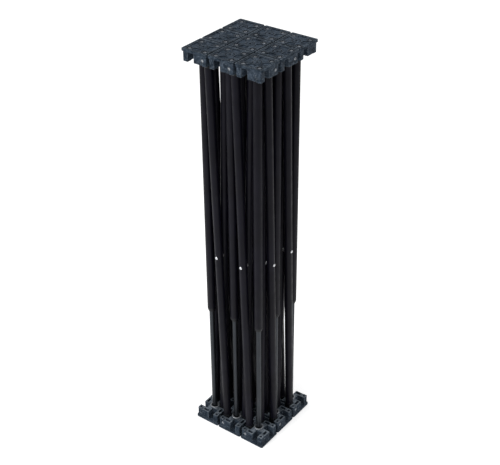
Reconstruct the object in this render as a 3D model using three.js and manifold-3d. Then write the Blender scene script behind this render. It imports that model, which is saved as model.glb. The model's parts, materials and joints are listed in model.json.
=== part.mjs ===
// Collapsible scissor-truss section: the folding support frame under a portable stage deck, in its folded state.
// Nine hub heads stand over nine hub feet in a 3 x 3 grid. Every two neighbouring grid places are joined by a pair
// of crossing tubular braces, riveted together at mid length, and every head slides down over its foot on a
// telescopic upright: a wide sleeve fixed in the head, round a thin post fixed in the foot.
// Columns a, b, c run along +X and rows 1, 2, 3 along +Y. Millimetres, +Z up, origin on the floor at the centre.

import * as THREE from "three";
import { mergeVertices } from "three/addons/utils/BufferGeometryUtils.js";
import Module from "manifold-3d";

const wasm = await Module();
wasm.setup();

// ---- Driving dimensions ----
const COLUMNS = ["a", "b", "c"];
const ROWS = ["1", "2", "3"];
const PITCH = 54; // grid spacing of the hubs, folded
const FOLDED_HEIGHT = 784;
const OPEN_SWING = THREE.MathUtils.degToRad(45); // how far a brace turns from folded to open

// Hub: one moulding, used upright as a head and upside down as a foot
const PLATE_SIDE = 52.2;
const PLATE_CORNER = 3;
const PLATE_THICK = 4.6;
const HUB_SIDE = 48;
const HUB_CORNER = 1.6;
const HUB_HEIGHT = 22.5;
const PIVOT_DROP = 13.4; // from the hub's outer face to its pivot bolts
const PIVOT_OUT = 16; // from the hub's centre to a pivot bolt, along the brace's direction
const BRACE_OFFSET = 7.9; // from the hub's centre line to the brace beside it
const SLOT_WIDTH = 12.4;
const SLOT_INNER = 9; // where a fork slot ends, from the hub's centre
const BOLT_RADIUS = 2.5;
const BOLT_GRIP = 4; // how deep a bolt sits in the fork's cheek on each side

// Brace: a round tube with an eye at each end
const BRACE_RADIUS = 7.5;
const BRACE_BORE = 6.3;
const EYE_RADIUS = 6.5;
const EYE_THICK = 11;
const EYE_HOLE = 2.8;
const NECK = 13; // from the eye's hole to the end of the tube
const TAIL_LENGTH = 12; // of the end fitting, inside the tube
const TAIL_THICK = 4;
const RIVET_RADIUS = 2.2;
const RIVET_HOLE = 2.5;
const RIVET_HEAD_RADIUS = 3.8;
const RIVET_HEAD_THICK = 1.3;
const HEAD_GAP = 0.15; // between the rivet's far head and the brace that turns under it

// Telescopic upright
const SLEEVE_RADIUS = 8;
const SLEEVE_BORE = 6.6;
const NOSE_RADIUS = 6.8;
const NOSE_LENGTH = 4;
const GUIDE_BORE = 5.3;
const GUIDE_LENGTH = 14;
const POST_RADIUS = 5;
const POST_BORE = 3.8;
const POST_TOP = 336;
const PISTON_RADIUS = 6.3;
const PISTON_LENGTH = 12;
const CUP_RIM_RADIUS = 8.7;
const CUP_RIM_THICK = 1.7;
const CUP_BORE = 7.2;
const CUP_FLOOR = 14;
const FIT_GAP = 0.3; // between pieces that rest on each other
const DOCK_GAP = 0.4; // between sleeve and cup when the frame is open

// Facets round each turned shape
const BRACE_SIDES = 10;
const UPRIGHT_SIDES = 10;
const PIN_SIDES = 8;
const CORNER_SEGMENTS = 1;
const EYE_SEGMENTS = 3;

// ---- Worked out from those ----
const QUARTER = Math.PI / 2;
const PIVOT_HEIGHT = FOLDED_HEIGHT - 2 * PIVOT_DROP; // between a brace's two pivots, folded
const PIVOT_SPREAD = PITCH - 2 * PIVOT_OUT;
const BRACE_LENGTH = Math.hypot(PIVOT_HEIGHT, PIVOT_SPREAD);
const TILT = Math.atan2(PIVOT_SPREAD, PIVOT_HEIGHT);
const SOCKET_RADIUS = SLEEVE_RADIUS + FIT_GAP;
const TRAVEL = PIVOT_HEIGHT - BRACE_LENGTH * Math.cos(TILT + OPEN_SWING); // of a head, towards its foot
const CUP_TOP = HUB_HEIGHT + FIT_GAP + CUP_RIM_THICK;
const SLEEVE_SHOULDER = CUP_TOP + DOCK_GAP + TRAVEL;
const SLEEVE_TOP = FOLDED_HEIGHT - PLATE_THICK - FIT_GAP;

// ---- Materials ----
const nylon = new THREE.MeshStandardMaterial({ color: 0x2b333b, roughness: 0.5, metalness: 0 });
const blackTube = new THREE.MeshStandardMaterial({ color: 0x19191c, roughness: 0.45, metalness: 0.2 });
const darkAnodised = new THREE.MeshStandardMaterial({ color: 0x3c4246, roughness: 0.35, metalness: 0.7 });

// ---- Solids ----
function solidOf(geometry) {
  geometry.deleteAttribute("normal");
  geometry.deleteAttribute("uv");
  const merged = mergeVertices(geometry, 1e-4);
  return new wasm.Manifold(
    new wasm.Mesh({
      numProp: 3,
      vertProperties: new Float32Array(merged.attributes.position.array),
      triVerts: new Uint32Array(merged.index.array),
    }),
  );
}

function geometryOf(solid) {
  const mesh = solid.getMesh();
  const indexed = new THREE.BufferGeometry()
    .setAttribute("position", new THREE.BufferAttribute(mesh.vertProperties, mesh.numProp))
    .setIndex(new THREE.BufferAttribute(mesh.triVerts, 1));
  const flat = indexed.toNonIndexed();
  flat.computeVertexNormals();
  return flat;
}

function box(x0, x1, y0, y1, z0, z1) {
  const geometry = new THREE.BoxGeometry(x1 - x0, y1 - y0, z1 - z0);
  return solidOf(geometry.translate((x0 + x1) / 2, (y0 + y1) / 2, (z0 + z1) / 2));
}

// A square prism with rounded corners, upright between two heights.
function roundedSquare(side, corner, z0, z1) {
  const half = side / 2 - corner;
  const shape = new THREE.Shape();
  [0, 1, 2, 3].forEach((k) => {
    const angle = k * QUARTER;
    const centre = new THREE.Vector2(half, half).rotateAround(new THREE.Vector2(), angle);
    shape.absarc(centre.x, centre.y, corner, angle, angle + QUARTER, false);
  });
  const geometry = new THREE.ExtrudeGeometry(shape, {
    depth: z1 - z0,
    bevelEnabled: false,
    curveSegments: CORNER_SEGMENTS,
  });
  return solidOf(geometry.translate(0, 0, z0));
}

// A round bar along Y between two places.
function barAlongY(radius, sides, y0, y1, x, z) {
  const geometry = new THREE.CylinderGeometry(radius, radius, y1 - y0, sides);
  return solidOf(geometry.translate(x, (y0 + y1) / 2, z));
}

// A turned piece round the Z axis. The profile is a closed loop of [radius, height], anticlockwise.
function turned(profile, sides) {
  const points = [...profile, profile[0]].map(([r, z]) => new THREE.Vector2(r, z));
  return solidOf(new THREE.LatheGeometry(points, sides).rotateX(QUARTER));
}

function joined(solids) {
  return solids.reduce((whole, next) => whole.add(next));
}

function cut(solid, tools) {
  return tools.reduce((left, tool) => left.subtract(tool), solid);
}

function turnedBy(solid, quarters) {
  return solid.rotate([0, 0, 90 * quarters]);
}

// ---- Hub ----
// Outer face at z = 0, forks below it. Fork k points along +X turned by k quarters; each fork lies to one side of
// the hub's centre line, so that all four form a pinwheel round the upright's socket.
function forkSlot() {
  const y0 = -BRACE_OFFSET - SLOT_WIDTH / 2;
  return box(SLOT_INNER, HUB_SIDE, y0, y0 + SLOT_WIDTH, -2 * HUB_HEIGHT, -PLATE_THICK);
}

function forkBolt() {
  const reach = SLOT_WIDTH / 2 + BOLT_GRIP;
  return barAlongY(
    BOLT_RADIUS, PIN_SIDES, -BRACE_OFFSET - reach, -BRACE_OFFSET + reach, PIVOT_OUT, -PIVOT_DROP,
  );
}

function hub(boltedForks) {
  const plate = roundedSquare(PLATE_SIDE, PLATE_CORNER, -PLATE_THICK, 0);
  const block = roundedSquare(HUB_SIDE, HUB_CORNER, -HUB_HEIGHT, -PLATE_THICK / 2);
  const socket = turned(
    [[0, -2 * HUB_HEIGHT], [SOCKET_RADIUS, -2 * HUB_HEIGHT], [SOCKET_RADIUS, -PLATE_THICK], [0, -PLATE_THICK]],
    UPRIGHT_SIDES,
  );
  const slots = [0, 1, 2, 3].map((k) => turnedBy(forkSlot(), k));
  const bolts = boltedForks.map((k) => turnedBy(forkBolt(), k));
  return joined([cut(plate.add(block), [socket, ...slots]), ...bolts]);
}

// ---- Braces ----
// A brace stands along Z, centred on its rivet hole, with its pivots along Y.
function braceTube() {
  const end = BRACE_LENGTH / 2 - NECK;
  return turned([[BRACE_BORE, -end], [BRACE_RADIUS, -end], [BRACE_RADIUS, end], [BRACE_BORE, end]], BRACE_SIDES);
}

// The upper end fitting: an eye, a neck as wide as the eye, and a narrow tail inside the tube.
function endFitting() {
  const eye = new THREE.Shape();
  eye.moveTo(EYE_RADIUS, -NECK);
  eye.lineTo(EYE_RADIUS, 0);
  eye.absarc(0, 0, EYE_RADIUS, 0, Math.PI, false);
  eye.lineTo(-EYE_RADIUS, -NECK);
  const plate = new THREE.ExtrudeGeometry(eye, {
    depth: EYE_THICK,
    bevelEnabled: false,
    curveSegments: EYE_SEGMENTS,
  });
  plate.rotateX(QUARTER).translate(0, EYE_THICK / 2, 0);
  const halfWidth = (BRACE_BORE + EYE_RADIUS) / 2;
  const tail = box(-halfWidth, halfWidth, -TAIL_THICK / 2, TAIL_THICK / 2, -NECK - TAIL_LENGTH, -NECK / 2);
  const hole = barAlongY(EYE_HOLE, PIN_SIDES, -EYE_THICK, EYE_THICK, 0, 0);
  return solidOf(plate).add(tail).subtract(hole).translate([0, 0, BRACE_LENGTH / 2]);
}

function brace() {
  const upper = endFitting();
  const lower = endFitting().rotate([180, 0, 0]);
  return joined([braceTube(), upper, lower]);
}

// The brace that carries the pair's rivet, which crosses to the other brace on its +Y side.
function rivetedBrace() {
  const farFace = 2 * BRACE_OFFSET + BRACE_RADIUS + HEAD_GAP;
  const nearFace = -BRACE_RADIUS * Math.cos(Math.PI / BRACE_SIDES);
  const shank = barAlongY(RIVET_RADIUS, PIN_SIDES, nearFace - 0.5, farFace + 0.5, 0, 0);
  const nearHead = barAlongY(
    RIVET_HEAD_RADIUS, PIN_SIDES, -BRACE_RADIUS - RIVET_HEAD_THICK / 2, nearFace + 0.4, 0, 0,
  );
  const farHead = barAlongY(RIVET_HEAD_RADIUS, PIN_SIDES, farFace, farFace + RIVET_HEAD_THICK, 0, 0);
  return joined([brace(), shank, nearHead, farHead]);
}

function drilledBrace() {
  return brace().subtract(barAlongY(RIVET_HOLE, PIN_SIDES, -2 * BRACE_RADIUS, 2 * BRACE_RADIUS, 0, 0));
}

// ---- Telescopic upright ----
// The sleeve hangs from the head. Its lower end is a guide bush with a nose that docks in the cup.
function sleeve() {
  const nose = SLEEVE_SHOULDER - NOSE_LENGTH;
  return turned([
    [GUIDE_BORE, nose], [NOSE_RADIUS, nose], [NOSE_RADIUS, SLEEVE_SHOULDER], [SLEEVE_RADIUS, SLEEVE_SHOULDER],
    [SLEEVE_RADIUS, SLEEVE_TOP], [SLEEVE_BORE, SLEEVE_TOP],
    [SLEEVE_BORE, nose + GUIDE_LENGTH], [GUIDE_BORE, nose + GUIDE_LENGTH],
  ], UPRIGHT_SIDES);
}

// The post stands in a docking cup in the foot's socket. Its top is a piston that slides in the sleeve.
function post() {
  const floor = PLATE_THICK + FIT_GAP;
  return turned([
    [POST_BORE, floor], [SLEEVE_RADIUS, floor], [SLEEVE_RADIUS, CUP_TOP - CUP_RIM_THICK],
    [CUP_RIM_RADIUS, CUP_TOP - CUP_RIM_THICK], [CUP_RIM_RADIUS, CUP_TOP], [CUP_BORE, CUP_TOP],
    [CUP_BORE, CUP_FLOOR], [POST_RADIUS, CUP_FLOOR], [POST_RADIUS, POST_TOP - PISTON_LENGTH],
    [PISTON_RADIUS, POST_TOP - PISTON_LENGTH], [PISTON_RADIUS, POST_TOP], [POST_BORE, POST_TOP],
  ], UPRIGHT_SIDES);
}

// ---- Assembly ----
const frame = new THREE.Group();
const middle = (COLUMNS.length - 1) / 2;

function mesh(name, solid, material) {
  const piece = new THREE.Mesh(geometryOf(solid), material);
  piece.name = name;
  return piece;
}

// The forks of the hub at a grid place that hold a brace, as quarters from +X.
function forksInUse(column, row) {
  const neighbours = [[1, 0], [0, 1], [-1, 0], [0, -1]];
  return [0, 1, 2, 3].filter((k) => {
    const [dx, dy] = neighbours[k];
    return COLUMNS[column + dx] !== undefined && ROWS[row + dy] !== undefined;
  });
}

function addGridPlace(column, row) {
  const place = COLUMNS[column] + ROWS[row];
  const x = (column - middle) * PITCH;
  const y = (row - middle) * PITCH;
  const forks = forksInUse(column, row);

  const head = mesh("top_hub_" + place, hub(forks), nylon);
  head.position.set(x, y, FOLDED_HEIGHT);

  // A foot is the same moulding turned over about X, which swaps its +Y and -Y forks.
  const foot = mesh("foot_hub_" + place, hub(forks.map((k) => (4 - k) % 4)), nylon);
  foot.position.set(x, y, 0);
  foot.rotation.x = Math.PI;

  const outer = mesh("upper_sleeve_" + place, sleeve(), blackTube);
  const inner = mesh("lower_post_" + place, post(), darkAnodised);
  outer.position.set(x, y, 0);
  inner.position.set(x, y, 0);
  frame.add(head, foot, outer, inner);
}

// The crossing pair between a grid place and its next neighbour along X, or along Y when turned a quarter.
function addPair(column, row, alongY) {
  const near = COLUMNS[column] + ROWS[row];
  const far = alongY ? COLUMNS[column] + ROWS[row + 1] : COLUMNS[column + 1] + ROWS[row];
  const pair = new THREE.Group();
  pair.rotation.z = alongY ? QUARTER : 0;
  pair.position.set(
    (column - middle + (alongY ? 0 : 0.5)) * PITCH,
    (row - middle + (alongY ? 0.5 : 0)) * PITCH,
    FOLDED_HEIGHT / 2,
  );

  const first = mesh(`brace_top_${near}_foot_${far}`, rivetedBrace(), blackTube);
  first.position.y = -BRACE_OFFSET;
  first.rotation.y = -TILT;

  const second = mesh(`brace_top_${far}_foot_${near}`, drilledBrace(), blackTube);
  second.position.y = BRACE_OFFSET;
  second.rotation.y = TILT;

  pair.add(first, second);
  frame.add(pair);
}

COLUMNS.forEach((_, column) => {
  ROWS.forEach((__, row) => {
    addGridPlace(column, row);
    if (column + 1 < COLUMNS.length) addPair(column, row, false);
    if (row + 1 < ROWS.length) addPair(column, row, true);
  });
});

export default frame;
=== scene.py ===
"""Looks of the folded scissor-truss stage frame: hubs, braces, uprights and fasteners round the CAD frame.

Templates are built once in millimetres, each in its own local frame, and copied to every grid place in
metres. Columns a, b, c run along +X and rows 1, 2, 3 along +Y.
"""
import json
import math
import random

import bmesh
import bpy
from mathutils import Matrix, Vector


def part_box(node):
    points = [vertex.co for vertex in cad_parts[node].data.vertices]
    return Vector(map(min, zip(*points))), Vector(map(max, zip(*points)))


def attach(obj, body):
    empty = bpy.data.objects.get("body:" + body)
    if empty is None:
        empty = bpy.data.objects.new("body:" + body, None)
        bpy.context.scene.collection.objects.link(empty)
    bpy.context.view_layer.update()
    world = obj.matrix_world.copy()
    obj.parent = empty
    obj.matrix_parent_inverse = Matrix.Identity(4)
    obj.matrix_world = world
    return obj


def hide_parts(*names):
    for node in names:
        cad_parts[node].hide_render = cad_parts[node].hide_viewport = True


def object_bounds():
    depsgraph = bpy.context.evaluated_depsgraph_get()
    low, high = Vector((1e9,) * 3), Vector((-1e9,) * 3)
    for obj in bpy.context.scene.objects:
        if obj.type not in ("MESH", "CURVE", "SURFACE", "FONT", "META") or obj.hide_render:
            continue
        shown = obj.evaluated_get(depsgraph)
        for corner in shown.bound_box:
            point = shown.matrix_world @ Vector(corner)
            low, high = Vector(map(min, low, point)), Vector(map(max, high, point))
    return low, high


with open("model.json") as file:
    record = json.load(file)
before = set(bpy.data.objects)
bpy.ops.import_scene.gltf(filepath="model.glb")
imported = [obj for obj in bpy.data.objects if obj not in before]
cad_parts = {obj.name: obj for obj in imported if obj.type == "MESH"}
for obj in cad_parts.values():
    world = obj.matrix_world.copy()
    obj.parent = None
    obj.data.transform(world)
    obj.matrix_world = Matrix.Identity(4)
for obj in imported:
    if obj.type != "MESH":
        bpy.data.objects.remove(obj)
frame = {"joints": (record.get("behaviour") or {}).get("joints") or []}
cad_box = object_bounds()

# ---- The frame's own sizes, read from the CAD model, in millimetres ----
MM = 0.001
COLUMNS = "abc"
ROWS = "123"
PLACES = [column + row for column in COLUMNS for row in ROWS]


def middle(node):
    low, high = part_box(node)
    return (low + high) / 2 / MM


joints = {joint["name"]: joint for joint in frame["joints"]}
PIVOT_OUT, BRACE_OFFSET, PIVOT_DROP = (abs(value) / MM for value in joints["open_close"]["pos_m"])
FOLDED_HEIGHT = cad_box[1].z / MM
CENTRES = {place: Vector((*middle("top_hub_" + place).xy, 0)) for place in PLACES}
PITCH = CENTRES["b1"].x - CENTRES["a1"].x
hub_low, hub_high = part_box("foot_hub_b2")
PLATE_SIDE = (hub_high.x - hub_low.x) / MM
HUB_HEIGHT = (hub_high.z - hub_low.z) / MM
sleeve_low, sleeve_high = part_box("upper_sleeve_b2")
NOSE_END = sleeve_low.z / MM
SLEEVE_TOP = sleeve_high.z / MM
post_low, post_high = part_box("lower_post_b2")
POST_FOOT = post_low.z / MM
POST_TOP = post_high.z / MM

PIVOT_HEIGHT = FOLDED_HEIGHT - 2 * PIVOT_DROP
PIVOT_SPREAD = PITCH - 2 * PIVOT_OUT
BRACE_LENGTH = math.hypot(PIVOT_HEIGHT, PIVOT_SPREAD)
TILT = math.atan2(PIVOT_SPREAD, PIVOT_HEIGHT)

# ---- Hub moulding ----
PLATE_CORNER = 3
PLATE_THICK = 4.6
RIM_WIDTH = 1.8
GROOVE_WIDTH = 1.1
GROOVE_DEPTH = 2.2
FIELD_DEPTH = 0.3
BLOCK_SIDE = 48
BLOCK_CORNER = 1.6
SLOT_WIDTH = 12.4
SLOT_INNER = 9
SOCKET_RADIUS = 8.3
SCREW_OUT = 16
COUNTERBORE_RADIUS = 4.1
COUNTERBORE_DEPTH = 2.4
SCREW_RING_RADIUS = 5.7
SCREW_RING_DEPTH = 1.6
CAP_GROOVE_OUTER = 7.8
CAP_GROOVE_INNER = 6.5
CAP_DEPTH = 3.2
POCKET_DEPTH = 1.5
LUG_STEP = 0.7
SLIT_PLACE = 14.8
SLIT_WIDTH = 1.2
SLIT_HEIGHT = 7.5
SLIT_INNER = 19
LUG_POCKET = (16.8, 21.4, 0.6, 11.2)  # x from, x to, y from, y to
LUG_POCKET_TOP = -9
LUG_HOLE_RADIUS = 2.3
LUG_HOLE_OUT = 19.2
LUG_HOLE_TOP = -15
PLATE_POCKET = [(10.6, -5.2), (19.6, -9.6), (20.6, -8.4), (20.6, 8.4), (19.6, 9.6), (10.6, 5.2)]
DIMPLE_RADIUS = 2.2
DIMPLE_DEPTH = 1.6
EDGE_ROUND = 0.32
# Of the hub shell's slots, the edge and rim slots are pale for wear and painted highlight, and the last one
# is painted shade.
BODY, EDGE_WEAR_HIGHLIGHT, RIM_WEAR_HIGHLIGHT, PAINTED_SHADE = range(4)  # material slots of a hub shell

# ---- Tubes and fittings ----
BRACE_RADIUS = 7.5
BRACE_BORE = 6.3
NECK = 13
COLLAR = 1.8
EYE_RADIUS = 6.5
EYE_HALF_THICK = 5.1
BOSS_RADIUS = 4.6
BOSS_HALF_THICK = 5.5
EYE_HOLE = 2.7
BOLT_RADIUS = 2.5
BOLT_INNER_END = 3.8
BOLT_HEAD_RADIUS = 2.5
BOLT_HEAD_HEIGHT = 1.5
BOLT_SEAT_DEPTH = 0.7
RIVET_RADIUS = 2.2
RIVET_HOLE = 2.5
RIVET_CLEARANCE = 0.05
SPACER_RADIUS = 4.8
SPACER_LOW = 0.05
SPACER_HIGH = 0.75
RIVET_HEAD_RADIUS = 2.9
RIVET_HEAD_HEIGHT = 1.3
SLEEVE_RADIUS = 8
SLEEVE_BORE = 6.6
NOSE_LENGTH = 4
NOSE_RADIUS = 6.8
GUIDE_BORE = 5.3
GUIDE_LENGTH = 14
BUSH_COLLAR = 3.2
POST_RADIUS = 5
POST_BORE = 3.8
PISTON_RADIUS = 6.3
PISTON_LENGTH = 12
CUP_RADIUS = 8
CUP_RIM_RADIUS = 8.7
CUP_RIM_THICK = 1.7
CUP_BORE = 7.1
CUP_FLOOR = 14
CUP_TOP = HUB_HEIGHT + 0.3 + CUP_RIM_THICK

ROUND_SEGMENTS = 40
SMALL_SEGMENTS = 24
CORNER_STEPS = 5
SHARP_ANGLE = math.radians(26)
QUARTER = math.pi / 2


# ---- Mesh tools, all in millimetres ----
def mesh_from(bm, name):
    mesh = bpy.data.meshes.new(name)
    bmesh.ops.recalc_face_normals(bm, faces=bm.faces)
    bm.to_mesh(mesh)
    bm.free()
    return mesh


def circle(radius, segments, x=0.0, y=0.0):
    angles = [2 * math.pi * k / segments for k in range(segments)]
    return [(x + radius * math.cos(a), y + radius * math.sin(a)) for a in angles]


def rounded_square(half, corner):
    points = []
    for k in range(4):
        turn = Matrix.Rotation(k * QUARTER, 2)
        for step in range(CORNER_STEPS + 1):
            a = QUARTER * step / CORNER_STEPS
            point = Vector((half - corner + corner * math.cos(a), half - corner + corner * math.sin(a)))
            points.append(tuple(turn @ point))
    return points


def rectangle(x0, x1, y0, y1):
    return [(x0, y0), (x1, y0), (x1, y1), (x0, y1)]


def rounded_loop(points, radius, steps=3):
    """A closed outline with each corner rounded by a short curve."""
    rounded = []
    for i, point in enumerate(points):
        corner = Vector(point)
        arms = [Vector(points[i - 1]) - corner, Vector(points[(i + 1) % len(points)]) - corner]
        start, end = (corner + arm.normalized() * min(radius, 0.45 * arm.length) for arm in arms)
        for step in range(steps + 1):
            t = step / steps
            rounded.append(tuple(start * (1 - t) ** 2 + corner * 2 * t * (1 - t) + end * t**2))
    return rounded


def tube_wall(bore, radius, low, high, rounding):
    """The profile of a tube's wall, as (radius, height) points with rounded corners."""
    return rounded_loop([(bore, low), (radius, low), (radius, high), (bore, high)], rounding)


def prism(outline, z0, z1):
    bm = bmesh.new()
    low = [bm.verts.new((x, y, z0)) for x, y in outline]
    high = [bm.verts.new((x, y, z1)) for x, y in outline]
    bm.faces.new(list(reversed(low)))
    bm.faces.new(high)
    for i in range(len(outline)):
        j = (i + 1) % len(outline)
        bm.faces.new([low[i], low[j], high[j], high[i]])
    return mesh_from(bm, "prism")


def turned(profile, segments, closed=True):
    """A piece turned round Z from (radius, height) points: a closed loop, or an open line that ends on Z."""
    bm = bmesh.new()
    rings = []
    for radius, z in profile:
        around = circle(radius, segments) if radius > 1e-6 else [(0, 0)]
        rings.append([bm.verts.new((x, y, z)) for x, y in around])
    followers = rings[1:] + (rings[:1] if closed else [])
    for ring, after in zip(rings, followers):
        for i in range(segments):
            j = (i + 1) % segments
            corners = [ring[i % len(ring)], ring[j % len(ring)], after[j % len(after)], after[i % len(after)]]
            corners = list(dict.fromkeys(corners))
            if len(corners) > 2:
                bm.faces.new(corners)
    return mesh_from(bm, "turned")


def assembled(parts):
    """One mesh from several (template, matrix) parts."""
    bm = bmesh.new()
    for template, matrix in parts:
        first = len(bm.verts)
        bm.from_mesh(template)
        bm.verts.ensure_lookup_table()
        bmesh.ops.transform(bm, matrix=matrix, verts=bm.verts[first:])
    mesh = bpy.data.meshes.new("assembled")
    bm.to_mesh(mesh)
    bm.free()
    return mesh


def with_modifier(mesh, kind, **settings):
    """The mesh with one modifier applied."""
    holder = bpy.data.objects.new("holder", mesh)
    bpy.context.scene.collection.objects.link(holder)
    modifier = holder.modifiers.new(kind, kind)
    for key, value in settings.items():
        setattr(modifier, key, value)
    graph = bpy.context.evaluated_depsgraph_get()
    result = bpy.data.meshes.new_from_object(holder.evaluated_get(graph))
    bpy.data.objects.remove(holder)
    return result


def boolean(mesh, tool, operation):
    other = bpy.data.objects.new("tool", tool)
    bpy.context.scene.collection.objects.link(other)
    result = with_modifier(mesh, "BOOLEAN", object=other, operation=operation, solver="EXACT")
    bpy.data.objects.remove(other)
    return result


def cut(mesh, *tools):
    for tool in tools:
        mesh = boolean(mesh, tool, "DIFFERENCE")
    return mesh


def join(mesh, *tools):
    for tool in tools:
        mesh = boolean(mesh, tool, "UNION")
    return mesh


def softened(mesh, width, segments=2):
    """The mesh with its edges rounded over, and the rounded faces in material slot 1."""
    mesh.materials.clear()
    for _ in range(2):
        mesh.materials.append(None)
    return with_modifier(
        mesh, "BEVEL", width=width, segments=segments, limit_method="ANGLE", angle_limit=math.radians(40),
        use_clamp_overlap=False, miter_outer="MITER_ARC", material=1,
    )


def moved(mesh, matrix):
    mesh.transform(matrix)
    return mesh


def spin(quarters):
    return Matrix.Rotation(quarters * QUARTER, 4, "Z")


def along_y():
    """Turns a piece built round +Z so that it lies along +Y."""
    return Matrix.Rotation(-QUARTER, 4, "X")


# ---- Templates ----
def four_ways(make):
    return [moved(make(), spin(k)) for k in range(4)]


def fork_slot():
    y0 = -BRACE_OFFSET - SLOT_WIDTH / 2
    return prism(rectangle(SLOT_INNER, PLATE_SIDE, y0, y0 + SLOT_WIDTH), -2 * HUB_HEIGHT, -PLATE_THICK)


def lug_step():
    """Under each lug's long side, the part next to the slot stands back from the corner's end face."""
    inner = -BRACE_OFFSET + SLOT_WIDTH / 2
    step = rectangle(BLOCK_SIDE / 4, PLATE_SIDE, inner - 1, SLIT_PLACE)
    return prism(step, -2 * HUB_HEIGHT, -HUB_HEIGHT + LUG_STEP)


def lug_slit():
    slit = rectangle(SLIT_INNER, PLATE_SIDE, SLIT_PLACE - SLIT_WIDTH / 2, SLIT_PLACE + SLIT_WIDTH / 2)
    return prism(slit, -2 * HUB_HEIGHT, -HUB_HEIGHT + SLIT_HEIGHT)


def lug_pocket():
    return prism(rounded_loop(rectangle(*LUG_POCKET), 1), -2 * HUB_HEIGHT, LUG_POCKET_TOP)


def lug_hole():
    hole = circle(LUG_HOLE_RADIUS, SMALL_SEGMENTS, LUG_HOLE_OUT, LUG_HOLE_OUT)
    return prism(hole, -2 * HUB_HEIGHT, LUG_HOLE_TOP)


def bolt_seat():
    """A shallow round seat for a pivot bolt's head, in a lug's outer face."""
    seat = prism(circle(BOLT_HEAD_RADIUS + 0.7, SMALL_SEGMENTS), -BOLT_SEAT_DEPTH, 5)
    place = Matrix.Translation((BLOCK_SIDE / 2, PIVOT_OUT, -PIVOT_DROP)) @ Matrix.Rotation(QUARTER, 4, "Y")
    return moved(seat, place)


def counterbore():
    return prism(circle(COUNTERBORE_RADIUS, SMALL_SEGMENTS, SCREW_OUT, SCREW_OUT), -COUNTERBORE_DEPTH, 1)


def screw_ring():
    """A thin moulded groove round a plate screw."""
    ring = turned(
        [(SCREW_RING_RADIUS - 0.45, -SCREW_RING_DEPTH), (SCREW_RING_RADIUS + 0.45, -SCREW_RING_DEPTH),
         (SCREW_RING_RADIUS + 0.45, 1), (SCREW_RING_RADIUS - 0.45, 1)], SMALL_SEGMENTS,
    )
    return moved(ring, Matrix.Translation((SCREW_OUT, SCREW_OUT, 0)))


def plate_pocket():
    """A shallow pocket in the plate between two diagonal ribs."""
    return prism(rounded_loop(PLATE_POCKET, 0.9), -POCKET_DEPTH, 1)


def square_ring(outer, inner, corner, z0, z1):
    """A square frame with rounded corners, from half-width `inner` to half-width `outer`."""
    bm = bmesh.new()
    loops = [rounded_square(outer, corner), rounded_square(inner, max(0.6, corner - (outer - inner)))]
    rings = [[bm.verts.new((x, y, z)) for x, y in loop] for loop, z in zip(
        [loops[0], loops[0], loops[1], loops[1]], [z0, z1, z1, z0])]
    for ring, after in zip(rings, rings[1:] + rings[:1]):
        for i in range(len(ring)):
            j = (i + 1) % len(ring)
            bm.faces.new([ring[i], ring[j], after[j], after[i]])
    return mesh_from(bm, "square_ring")


def hub_shell():
    """The moulding with its outer face at z = 0, its forks below, and fork 0 pointing along +X.

    Rim tops, lug ends and rounded edges are pale, partly wear and partly painted highlight, and grooves and
    the plate's sides are darkened with painted shade.
    """
    shell = join(
        prism(rounded_square(PLATE_SIDE / 2, PLATE_CORNER), -PLATE_THICK, 0),
        prism(rounded_square(BLOCK_SIDE / 2, BLOCK_CORNER), -HUB_HEIGHT, -PLATE_THICK / 2),
    )
    inside = PLATE_SIDE / 2 - RIM_WIDTH
    corner = PLATE_CORNER - RIM_WIDTH / 2
    shell = cut(shell, prism(rounded_square(inside, corner), -FIELD_DEPTH, 1))
    shell = cut(shell, square_ring(inside, inside - GROOVE_WIDTH, corner, -GROOVE_DEPTH, 0.5))
    shell = cut(shell, prism(circle(SOCKET_RADIUS, ROUND_SEGMENTS), -2 * HUB_HEIGHT, -PLATE_THICK))
    in_the_forks = (fork_slot, lug_step, lug_slit, lug_pocket, lug_hole, bolt_seat)
    in_the_plate = (plate_pocket, screw_ring, counterbore)
    for make in in_the_forks + in_the_plate:
        shell = cut(shell, *four_ways(make))
    cap_groove = turned(
        [(CAP_GROOVE_INNER, -CAP_DEPTH), (CAP_GROOVE_OUTER, -CAP_DEPTH),
         (CAP_GROOVE_OUTER, 1), (CAP_GROOVE_INNER, 1)],
        ROUND_SEGMENTS,
    )
    dimple = prism(circle(DIMPLE_RADIUS, SMALL_SEGMENTS), -DIMPLE_DEPTH, 1)
    shell = softened(cut(shell, cap_groove, dimple), EDGE_ROUND)
    for face in shell.polygons:
        height, facing = face.center.z, face.normal.z
        out = max(abs(face.center.x), abs(face.center.y))
        # Rim tops are paler than the field, partly wear and partly a painted highlight along the plate's
        # edge.
        if height > -0.1 and facing > 0.99:
            face.material_index = RIM_WEAR_HIGHLIGHT
        # Lug ends, which face up on the feet, and the rounded edges are pale, partly wear and partly painted
        # highlight.
        elif height < -HUB_HEIGHT + LUG_STEP + 0.1 and facing < -0.99:
            face.material_index = EDGE_WEAR_HIGHLIGHT
        # The plate's sides, which face the gaps between hubs, take painted shade.
        elif height > -PLATE_THICK and out > PLATE_SIDE / 2 - EDGE_ROUND:
            face.material_index = PAINTED_SHADE
        # The walls and floors of grooves, counterbores and pockets take painted shade; only the pocket floors
        # keep the body colour.
        elif -CAP_DEPTH - 0.1 < height < -FIELD_DEPTH - 0.1 and out < inside:
            pocket_floor = abs(height + POCKET_DEPTH) < 0.05 and facing > 0.99
            face.material_index = BODY if pocket_floor else PAINTED_SHADE
    return shell


def button_head(radius, height, socket_radius, sides=6):
    """A domed head sitting on z = 0, with a driver socket in its top."""
    rise = [(radius * math.cos(a), height * math.sin(a)) for a in (QUARTER * k / 6 for k in range(6))]
    dome = turned([(0, -0.4), (radius, -0.4), *rise, (0, height)], SMALL_SEGMENTS, closed=False)
    socket = prism(circle(socket_radius, sides), height * 0.35, height + 1)
    return cut(dome, socket)


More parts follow.
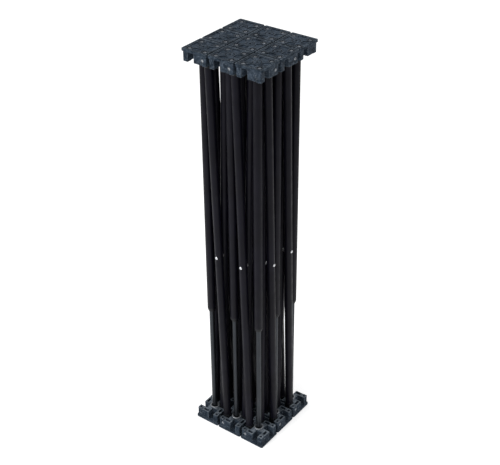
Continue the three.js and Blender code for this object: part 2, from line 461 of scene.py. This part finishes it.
def hub_screw():
    """A recessed plate screw: a pan head with a cross socket, on the counterbore's floor."""
    head = turned(
        [(0, -0.2), *rounded_loop([(3.0, -0.2), (3.0, 1.2), (2.0, 1.75)], 0.5)[1:-1], (0, 1.8)],
        SMALL_SEGMENTS, closed=False,
    )
    long, wide = 1.6, 0.38
    across, along = rectangle(-long, long, -wide, wide), rectangle(-wide, wide, -long, long)
    arms = [prism(across, 0.8, 3), prism(along, 0.8, 3)]
    return moved(cut(head, *arms), Matrix.Translation((SCREW_OUT, SCREW_OUT, -COUNTERBORE_DEPTH)))


def fork_bolt():
    """The pivot bolt of fork 0, along Y, with its head in the seat on the lug's outer face at -Y."""
    outer = -BLOCK_SIDE / 2 + BOLT_SEAT_DEPTH
    length = -BRACE_OFFSET + SLOT_WIDTH / 2 + BOLT_INNER_END - outer
    profile = [(0, 0), (BOLT_RADIUS, 0), (BOLT_RADIUS, length), (0, length)]
    shank = turned(profile, SMALL_SEGMENTS, closed=False)
    head = button_head(BOLT_HEAD_RADIUS, BOLT_HEAD_HEIGHT, BOLT_HEAD_RADIUS * 0.45)
    place = Matrix.Translation((PIVOT_OUT, outer, -PIVOT_DROP)) @ along_y()
    return assembled([(shank, place), (head, place @ Matrix.Rotation(math.pi, 4, "X"))])


def brace_tube():
    """A brace's tube along Z, with the rivet's hole through both walls at its middle."""
    end = BRACE_LENGTH / 2 - NECK - COLLAR
    wall = tube_wall(BRACE_BORE, BRACE_RADIUS, -end, end, 0.4)
    hole = moved(prism(circle(RIVET_HOLE, SMALL_SEGMENTS), -2 * BRACE_RADIUS, 2 * BRACE_RADIUS), along_y())
    return cut(turned(wall, ROUND_SEGMENTS), hole)


def end_fitting():
    """The upper end of a brace, its eye's hole at the origin along Y: eye, neck, collar and plug."""
    half_turn = [math.pi * k / 16 for k in range(17)]
    crown = [(EYE_RADIUS * math.cos(a), EYE_RADIUS * math.sin(a)) for a in half_turn]
    outline = [(EYE_RADIUS, -NECK), *crown, (-EYE_RADIUS, -NECK)]
    stand = Matrix.Rotation(QUARTER, 4, "X")
    plate = moved(prism(outline, -EYE_HALF_THICK, EYE_HALF_THICK), stand)
    boss = moved(prism(circle(BOSS_RADIUS, SMALL_SEGMENTS), -BOSS_HALF_THICK, BOSS_HALF_THICK), stand)
    collar = prism(circle(BRACE_RADIUS, ROUND_SEGMENTS), -NECK - COLLAR, -NECK + 0.6)
    plug = prism(circle(BRACE_BORE - 0.1, SMALL_SEGMENTS), -NECK - COLLAR - 8, -NECK)
    hole = moved(prism(circle(EYE_HOLE, SMALL_SEGMENTS), -PLATE_SIDE, PLATE_SIDE), stand)
    fitting = cut(join(plate, boss, collar, plug), hole)
    return softened(fitting, 0.35)


def brace_ends(fitting):
    up = Matrix.Translation((0, 0, BRACE_LENGTH / 2))
    return assembled([(fitting, up), (fitting, Matrix.Rotation(math.pi, 4, "X") @ up)])


def brace_rivet():
    """The rivet of a pair, along Y from the brace that carries it, with a spacer between the two braces."""
    near = -BRACE_RADIUS
    far = 2 * BRACE_OFFSET + BRACE_RADIUS
    profile = [(0, near), (RIVET_RADIUS, near), (RIVET_RADIUS, far), (0, far)]
    shank = turned(profile, SMALL_SEGMENTS, closed=False)
    head_points = [(RIVET_HEAD_RADIUS * math.cos(a), RIVET_HEAD_HEIGHT * math.sin(a) + 0.25)
                   for a in (QUARTER * k / 6 for k in range(6))]
    head = turned([(0, 0), (RIVET_HEAD_RADIUS, 0), *head_points, (0, RIVET_HEAD_HEIGHT + 0.25)],
                  SMALL_SEGMENTS, closed=False)
    spacer = turned(tube_wall(RIVET_RADIUS, SPACER_RADIUS, SPACER_LOW, SPACER_HIGH, 0.2), SMALL_SEGMENTS)
    flip = Matrix.Rotation(math.pi, 4, "X")
    return assembled([
        (shank, along_y()),
        (head, along_y() @ Matrix.Translation((0, 0, near + 0.3)) @ flip),
        (spacer, along_y() @ Matrix.Translation((0, 0, BRACE_RADIUS))),
        (head, along_y() @ Matrix.Translation((0, 0, far + RIVET_CLEARANCE))),
    ])


def sleeve_tube():
    low = NOSE_END + NOSE_LENGTH + BUSH_COLLAR
    return turned(tube_wall(SLEEVE_BORE, SLEEVE_RADIUS, low, SLEEVE_TOP, 0.4), ROUND_SEGMENTS)


def sleeve_bush():
    shoulder = NOSE_END + NOSE_LENGTH
    collar_top = shoulder + BUSH_COLLAR
    guide_top = NOSE_END + GUIDE_LENGTH
    corners = [
        (GUIDE_BORE, NOSE_END), (NOSE_RADIUS, NOSE_END), (NOSE_RADIUS, shoulder), (SLEEVE_RADIUS, shoulder),
        (SLEEVE_RADIUS, collar_top), (SLEEVE_BORE - 0.05, collar_top),
        (SLEEVE_BORE - 0.05, guide_top), (GUIDE_BORE, guide_top),
    ]
    return turned(rounded_loop(corners, 0.45), ROUND_SEGMENTS)


def post_tube():
    return turned(tube_wall(POST_BORE, POST_RADIUS, POST_FOOT, POST_TOP, 0.3), ROUND_SEGMENTS)


def post_piston():
    low = POST_TOP - PISTON_LENGTH
    return turned(tube_wall(POST_RADIUS, PISTON_RADIUS, low, POST_TOP, 0.5), ROUND_SEGMENTS)


def dock_cup():
    rim_low = CUP_TOP - CUP_RIM_THICK
    corners = [
        (POST_RADIUS + 0.02, POST_FOOT), (CUP_RADIUS, POST_FOOT), (CUP_RADIUS, rim_low),
        (CUP_RIM_RADIUS, rim_low), (CUP_RIM_RADIUS, CUP_TOP), (CUP_BORE, CUP_TOP),
        (CUP_BORE, CUP_FLOOR), (POST_RADIUS + 0.02, CUP_FLOOR),
    ]
    return turned(rounded_loop(corners, 0.5), ROUND_SEGMENTS)


# ---- Materials ----
class Surface:
    """A procedural material: one Principled shader, with helpers that hang nodes on its sockets."""

    def __init__(self, name, **constants):
        self.material = bpy.data.materials.new(name)
        self.material.use_nodes = True
        self.nodes = self.material.node_tree.nodes
        self.links = self.material.node_tree.links
        self.shader = self.nodes["Principled BSDF"]
        for socket, value in constants.items():
            self.shader.inputs[socket.replace("_", " ")].default_value = value
        self.place = self.nodes.new("ShaderNodeTexCoord").outputs["Object"]
        self.height = None

    def link(self, output, node, socket):
        self.links.new(output, node.inputs[socket])

    def stretched(self, x, y, z):
        """Object coordinates scaled along each axis, so that a pattern runs along one of them."""
        mapping = self.nodes.new("ShaderNodeMapping")
        mapping.inputs["Scale"].default_value = (x, y, z)
        self.link(self.place, mapping, "Vector")
        return mapping.outputs["Vector"]

    def noise(self, scale, detail=3.0, place=None, roughness=0.55):
        noise = self.nodes.new("ShaderNodeTexNoise")
        noise.inputs["Scale"].default_value = scale
        noise.inputs["Detail"].default_value = detail
        noise.inputs["Roughness"].default_value = roughness
        self.link(place or self.place, noise, "Vector")
        return noise.outputs["Fac"]

    def ranged(self, value, low, high, out_low=0.0, out_high=1.0):
        span = self.nodes.new("ShaderNodeMapRange")
        span.inputs["From Min"].default_value = low
        span.inputs["From Max"].default_value = high
        span.inputs["To Min"].default_value = out_low
        span.inputs["To Max"].default_value = out_high
        self.link(value, span, "Value")
        return span.outputs["Result"]

    def mixed(self, factor, a, b):
        """A colour between a and b, each a colour output or three numbers."""
        mix = self.nodes.new("ShaderNodeMix")
        mix.data_type = "RGBA"
        self.link(factor, mix, "Factor")
        colours = [socket for socket in mix.inputs if socket.type == "RGBA"]
        for socket, colour in zip(colours, (a, b)):
            if isinstance(colour, tuple):
                socket.default_value = (*colour, 1)
            else:
                self.links.new(colour, socket)
        return next(socket for socket in mix.outputs if socket.type == "RGBA")

    def product(self, a, b):
        node = self.nodes.new("ShaderNodeMath")
        node.operation = "MULTIPLY"
        self.links.new(a, node.inputs[0])
        self.links.new(b, node.inputs[1])
        return node.outputs["Value"]

    def bump(self, value, distance, strength=1.0):
        """Adds one more layer of relief, in metres."""
        node = self.nodes.new("ShaderNodeBump")
        node.inputs["Distance"].default_value = distance
        node.inputs["Strength"].default_value = strength
        self.link(value, node, "Height")
        if self.height is not None:
            self.link(self.height, node, "Normal")
        self.height = node.outputs["Normal"]

    def done(self, colour, roughness):
        self.link(colour, self.shader, "Base Color")
        self.link(roughness, self.shader, "Roughness")
        if self.height is not None:
            self.link(self.height, self.shader, "Normal")
        return self.material


def moulded_nylon(name, dark, light, scuff, level=0.2):
    """Glass-filled nylon: blue-black, spark-eroded grain, cloudy flow marks and pale scuffs."""
    s = Surface(name, Specular_IOR_Level=level)
    cloud = s.ranged(s.noise(210, 5, roughness=0.75), 0.40, 0.62)
    flow = s.ranged(s.noise(60, 3, s.stretched(1, 1, 2.5)), 0.45, 0.65)
    colour = s.mixed(cloud, dark, light)
    colour = s.mixed(flow, colour, tuple(0.7 * c for c in dark))
    scuffs = s.ranged(s.noise(430, 3, roughness=0.7), 0.56, 0.70)
    colour = s.mixed(scuffs, colour, scuff)
    s.bump(s.noise(2600, 2), 0.00006, 0.7)
    s.bump(s.noise(420, 3), 0.00016, 0.5)
    return s.done(colour, s.ranged(s.noise(120, 4), 0.3, 0.7, 0.3, 0.52))


def powder_coat(name, dark, light, scuff):
    """Satin black powder coat on tube: orange peel, faint lengthways scuffs and rubbed patches."""
    s = Surface(name, Specular_IOR_Level=0.11)
    patch = s.ranged(s.noise(14, 3), 0.38, 0.66)
    colour = s.mixed(patch, dark, light)
    streaks = s.ranged(s.noise(900, 3, s.stretched(1, 1, 0.02)), 0.6, 0.72)
    marks = s.product(streaks, s.ranged(s.noise(30, 4), 0.5, 0.7))
    colour = s.mixed(marks, colour, scuff)
    s.bump(s.noise(1100, 2), 0.00005, 0.45)
    s.bump(s.noise(160, 3, s.stretched(1, 1, 0.25)), 0.00015, 0.2)
    return s.done(colour, s.ranged(s.noise(70, 4), 0.3, 0.7, 0.36, 0.52))


def anodised(name, dark, light):
    """Dark anodised tube with a drawn, lengthways grain."""
    s = Surface(name, Metallic=0.85)
    drawn = s.ranged(s.noise(1400, 3, s.stretched(1, 1, 0.01)), 0.3, 0.7)
    colour = s.mixed(drawn, dark, light)
    slide = s.ranged(s.noise(500, 2, s.stretched(1, 1, 0.05)), 0.62, 0.74)
    colour = s.mixed(slide, colour, tuple(1.5 * c for c in light))
    s.bump(s.noise(1800, 2, s.stretched(1, 1, 0.01)), 0.00003, 0.5)
    return s.done(colour, s.ranged(s.noise(60, 3), 0.3, 0.7, 0.32, 0.44))


def plated_steel(name, dark, light, metal=1.0):
    """Zinc plate with small tarnished clouds and fine pitting."""
    s = Surface(name, Metallic=metal)
    tarnish = s.ranged(s.noise(500, 4), 0.35, 0.7)
    colour = s.mixed(tarnish, light, dark)
    s.bump(s.noise(3200, 2), 0.00003, 0.5)
    return s.done(colour, s.ranged(s.noise(700, 3), 0.3, 0.7, 0.22, 0.4))


NYLON = moulded_nylon("nylon_hub", (0.015, 0.023, 0.034), (0.046, 0.062, 0.084), (0.100, 0.124, 0.155), 0.02)
# Pale nylon for rounded edges and lug ends: partly wear, partly painted highlight.
WORN_HIGHLIGHT_NYLON = moulded_nylon(
    "nylon_worn_highlight_edge", (0.075, 0.092, 0.112), (0.160, 0.185, 0.215), (0.30, 0.33, 0.36), 0.04,
)
# Paler nylon for the rim tops: partly wear, partly painted highlight.
RIM_HIGHLIGHT_NYLON = moulded_nylon(
    "nylon_worn_highlight_rim", (0.028, 0.040, 0.053), (0.080, 0.100, 0.125), (0.17, 0.20, 0.23), 0.04,
)
# Near-black nylon: painted shade for grooves, pocket walls and the gaps between plates.
PAINTED_SHADE_NYLON = moulded_nylon(
    "nylon_painted_shade", (0.003, 0.005, 0.009), (0.009, 0.014, 0.021), (0.018, 0.024, 0.032), 0.02,
)
HUB_MATERIALS = (NYLON, WORN_HIGHLIGHT_NYLON, RIM_HIGHLIGHT_NYLON, PAINTED_SHADE_NYLON)
FITTING = moulded_nylon(
    "nylon_fitting", (0.0035, 0.004, 0.0055), (0.008, 0.009, 0.011), (0.018, 0.020, 0.024),
)
BLACK = powder_coat(
    "black_powder_coat", (0.0018, 0.0016, 0.0042), (0.0038, 0.0035, 0.0085), (0.020, 0.020, 0.028),
)
SATIN = anodised("dark_anodised", (0.021, 0.024, 0.028), (0.042, 0.047, 0.054))
STEEL = plated_steel("zinc_plate", (0.16, 0.17, 0.19), (0.38, 0.40, 0.43))
SCREW = plated_steel("screw_plate", (0.05, 0.06, 0.07), (0.32, 0.34, 0.38))
RIVET = plated_steel("rivet_plate", (0.45, 0.46, 0.48), (0.70, 0.71, 0.73))
CUP = plated_steel("cup_plate", (0.24, 0.26, 0.28), (0.46, 0.48, 0.51), 0.3)


# ---- Pieces ----
def add_piece(name, parts, materials, body, node):
    """A piece in metres in the shared frame, riding on its body and standing for its CAD node."""
    mesh = assembled(parts)
    mesh.transform(Matrix.Scale(MM, 4))
    mesh.name = name
    mesh.shade_smooth()
    mesh.set_sharp_from_angle(angle=SHARP_ANGLE)
    for material in materials:
        mesh.materials.append(material)
    piece = bpy.data.objects.new(name, mesh)
    bpy.context.scene.collection.objects.link(piece)
    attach(piece, body)
    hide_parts(node)
    return piece


def forks_in_use(place):
    """The forks of a head that hold a brace, as quarters from +X."""
    column, row = COLUMNS.index(place[0]), ROWS.index(place[1])
    steps = [(1, 0), (0, 1), (-1, 0), (0, -1)]
    return [k for k, (dx, dy) in enumerate(steps)
            if 0 <= column + dx < len(COLUMNS) and 0 <= row + dy < len(ROWS)]


def add_hub(kind, place, templates):
    """A head, or a foot, which is the same moulding turned over about X, so that its +Y and -Y forks swap."""
    top = kind == "top"
    stand = Matrix.Translation(CENTRES[place])
    if top:
        stand = stand @ Matrix.Translation((0, 0, FOLDED_HEIGHT))
    else:
        stand = stand @ Matrix.Rotation(math.pi, 4, "X")
    forks = forks_in_use(place) if top else [(4 - k) % 4 for k in forks_in_use(place)]
    body = ("head_" if top else "foot_") + place
    node = f"{kind}_hub_{place}"
    name = f"{kind}_shell_{place}"
    shell = add_piece(name, [(templates["shell"], stand)], HUB_MATERIALS, body, node)
    outside = ((len(COLUMNS) - 1) * PITCH + PLATE_SIDE) / 2 - EDGE_ROUND
    # Plate sides on the grid's outer edge face no neighbour, so they lose the painted shade and take the body
    # colour.
    for face in shell.data.polygons:
        if face.material_index == PAINTED_SHADE and max(abs(face.center.x), abs(face.center.y)) > outside * MM:
            face.material_index = BODY
    screws = []
    for k in range(4):
        out = Matrix.Translation((SCREW_OUT, SCREW_OUT, 0))
        turn = out @ Matrix.Rotation(random.uniform(0, math.pi), 4, "Z") @ out.inverted()
        screws.append((templates["screw"], stand @ spin(k) @ turn))
    add_piece(f"{kind}_screws_{place}", screws, [SCREW], body, node)
    bolts = [(templates["bolt"], stand @ spin(k)) for k in forks]
    add_piece(f"{kind}_bolts_{place}", bolts, [STEEL], body, node)


def add_upright(place, templates):
    stand = Matrix.Translation(CENTRES[place])
    head, foot = "head_" + place, "foot_" + place
    outer, inner = "upper_sleeve_" + place, "lower_post_" + place
    add_piece("sleeve_tube_" + place, [(templates["sleeve"], stand)], [BLACK], head, outer)
    add_piece("sleeve_bush_" + place, [(templates["bush"], stand)], [FITTING], head, outer)
    add_piece("post_tube_" + place, [(templates["post"], stand)], [SATIN], foot, inner)
    add_piece("post_piston_" + place, [(templates["piston"], stand)], [FITTING], foot, inner)
    add_piece("dock_cup_" + place, [(templates["cup"], stand)], [CUP], foot, inner)


def add_brace(top, foot, stand, templates, riveted):
    node = f"brace_top_{top}_foot_{foot}"
    tail = f"{top}_{foot}"
    add_piece("brace_tube_" + tail, [(templates["tube"], stand)], [BLACK], node, node)
    add_piece("brace_ends_" + tail, [(templates["ends"], stand)], [FITTING, FITTING], node, node)
    if riveted:
        add_piece("brace_rivet_" + tail, [(templates["rivet"], stand)], [RIVET], node, node)


def add_pair(near, far, templates):
    """The crossing braces between a grid place and its next neighbour along +X or +Y."""
    centre = (CENTRES[near] + CENTRES[far]) / 2
    centre.z = FOLDED_HEIGHT / 2
    pair = Matrix.Translation(centre) @ spin(0 if near[1] == far[1] else 1)
    first = pair @ Matrix.Translation((0, -BRACE_OFFSET, 0)) @ Matrix.Rotation(-TILT, 4, "Y")
    second = pair @ Matrix.Translation((0, BRACE_OFFSET, 0)) @ Matrix.Rotation(TILT, 4, "Y")
    add_brace(near, far, first, templates, riveted=True)
    add_brace(far, near, second, templates, riveted=False)


# ---- Studio ----
CAMERA_PLACE = (0.9727, -1.307, 1.448)
CAMERA_YAW = math.radians(36.76)
CAMERA_PITCH = math.radians(32.22)
CAMERA_ROLL = math.radians(-0.5)
CAMERA_LENS = 76.9  # mm, on a sensor 36 mm wide
WORLD_STRENGTH = 0.55
FLOOR_GLOW = 0.4
KEY_LIGHT = ((-1.2, -2.5, 2.3), (1.6, 1.6), 66)  # place in metres, size in metres, watts
TOP_LIGHT = ((0.2, 0.4, 3.0), (2.0, 2.0), 26)


def add_camera():
    camera = bpy.data.objects.new("camera", bpy.data.cameras.new("camera"))
    camera.data.lens = CAMERA_LENS
    camera.data.sensor_width = 36
    turn = Matrix.Rotation(CAMERA_YAW, 4, "Z") @ Matrix.Rotation(QUARTER - CAMERA_PITCH, 4, "X")
    camera.matrix_world = Matrix.Translation(CAMERA_PLACE) @ turn @ Matrix.Rotation(CAMERA_ROLL, 4, "Z")
    bpy.context.scene.collection.objects.link(camera)
    bpy.context.scene.camera = camera


def add_softbox(name, place, size, power):
    """An area light that points at the middle of the frame."""
    lamp = bpy.data.lights.new(name, "AREA")
    lamp.shape = "RECTANGLE"
    lamp.size, lamp.size_y = size
    lamp.energy = power
    light = bpy.data.objects.new(name, lamp)
    aim = Vector((0, 0, FOLDED_HEIGHT * MM / 2)) - Vector(place)
    light.matrix_world = Matrix.Translation(place) @ aim.to_track_quat("-Z", "Y").to_matrix().to_4x4()
    bpy.context.scene.collection.objects.link(light)


def add_floor():
    floor = bpy.data.objects.new("floor", prism(rounded_square(9000, 500), -20, 0))
    floor.data.transform(Matrix.Scale(MM, 4))
    paper = Surface("floor_acrylic", Emission_Color=(1, 1, 1, 1), Emission_Strength=FLOOR_GLOW)
    tone = paper.mixed(paper.ranged(paper.noise(3, 2), 0.3, 0.7), (0.90, 0.90, 0.90), (0.93, 0.93, 0.93))
    floor.data.materials.append(paper.done(tone, paper.ranged(paper.noise(40, 2), 0.3, 0.7, 0.85, 0.95)))
    bpy.context.scene.collection.objects.link(floor)


def add_world():
    world = bpy.data.worlds.new("studio")
    world.use_nodes = True
    background = world.node_tree.nodes["Background"]
    background.inputs["Color"].default_value = (1, 1, 1, 1)
    background.inputs["Strength"].default_value = WORLD_STRENGTH
    bpy.context.scene.world = world
    bpy.context.scene.view_settings.view_transform = "Standard"


random.seed(7)
add_camera()
add_world()
add_floor()
add_softbox("key_light", *KEY_LIGHT)
add_softbox("top_light", *TOP_LIGHT)

fitting = end_fitting()
templates = {
    "shell": hub_shell(), "screw": hub_screw(), "bolt": fork_bolt(),
    "tube": brace_tube(), "ends": brace_ends(fitting), "rivet": brace_rivet(),
    "sleeve": sleeve_tube(), "bush": sleeve_bush(), "post": post_tube(), "piston": post_piston(),
    "cup": dock_cup(),
}
for place in PLACES:
    add_hub("top", place, templates)
    add_hub("foot", place, templates)
    add_upright(place, templates)
for column, letter in enumerate(COLUMNS):
    for row, digit in enumerate(ROWS):
        if column + 1 < len(COLUMNS):
            add_pair(letter + digit, COLUMNS[column + 1] + digit, templates)
        if row + 1 < len(ROWS):
            add_pair(letter + digit, letter + ROWS[row + 1], templates)
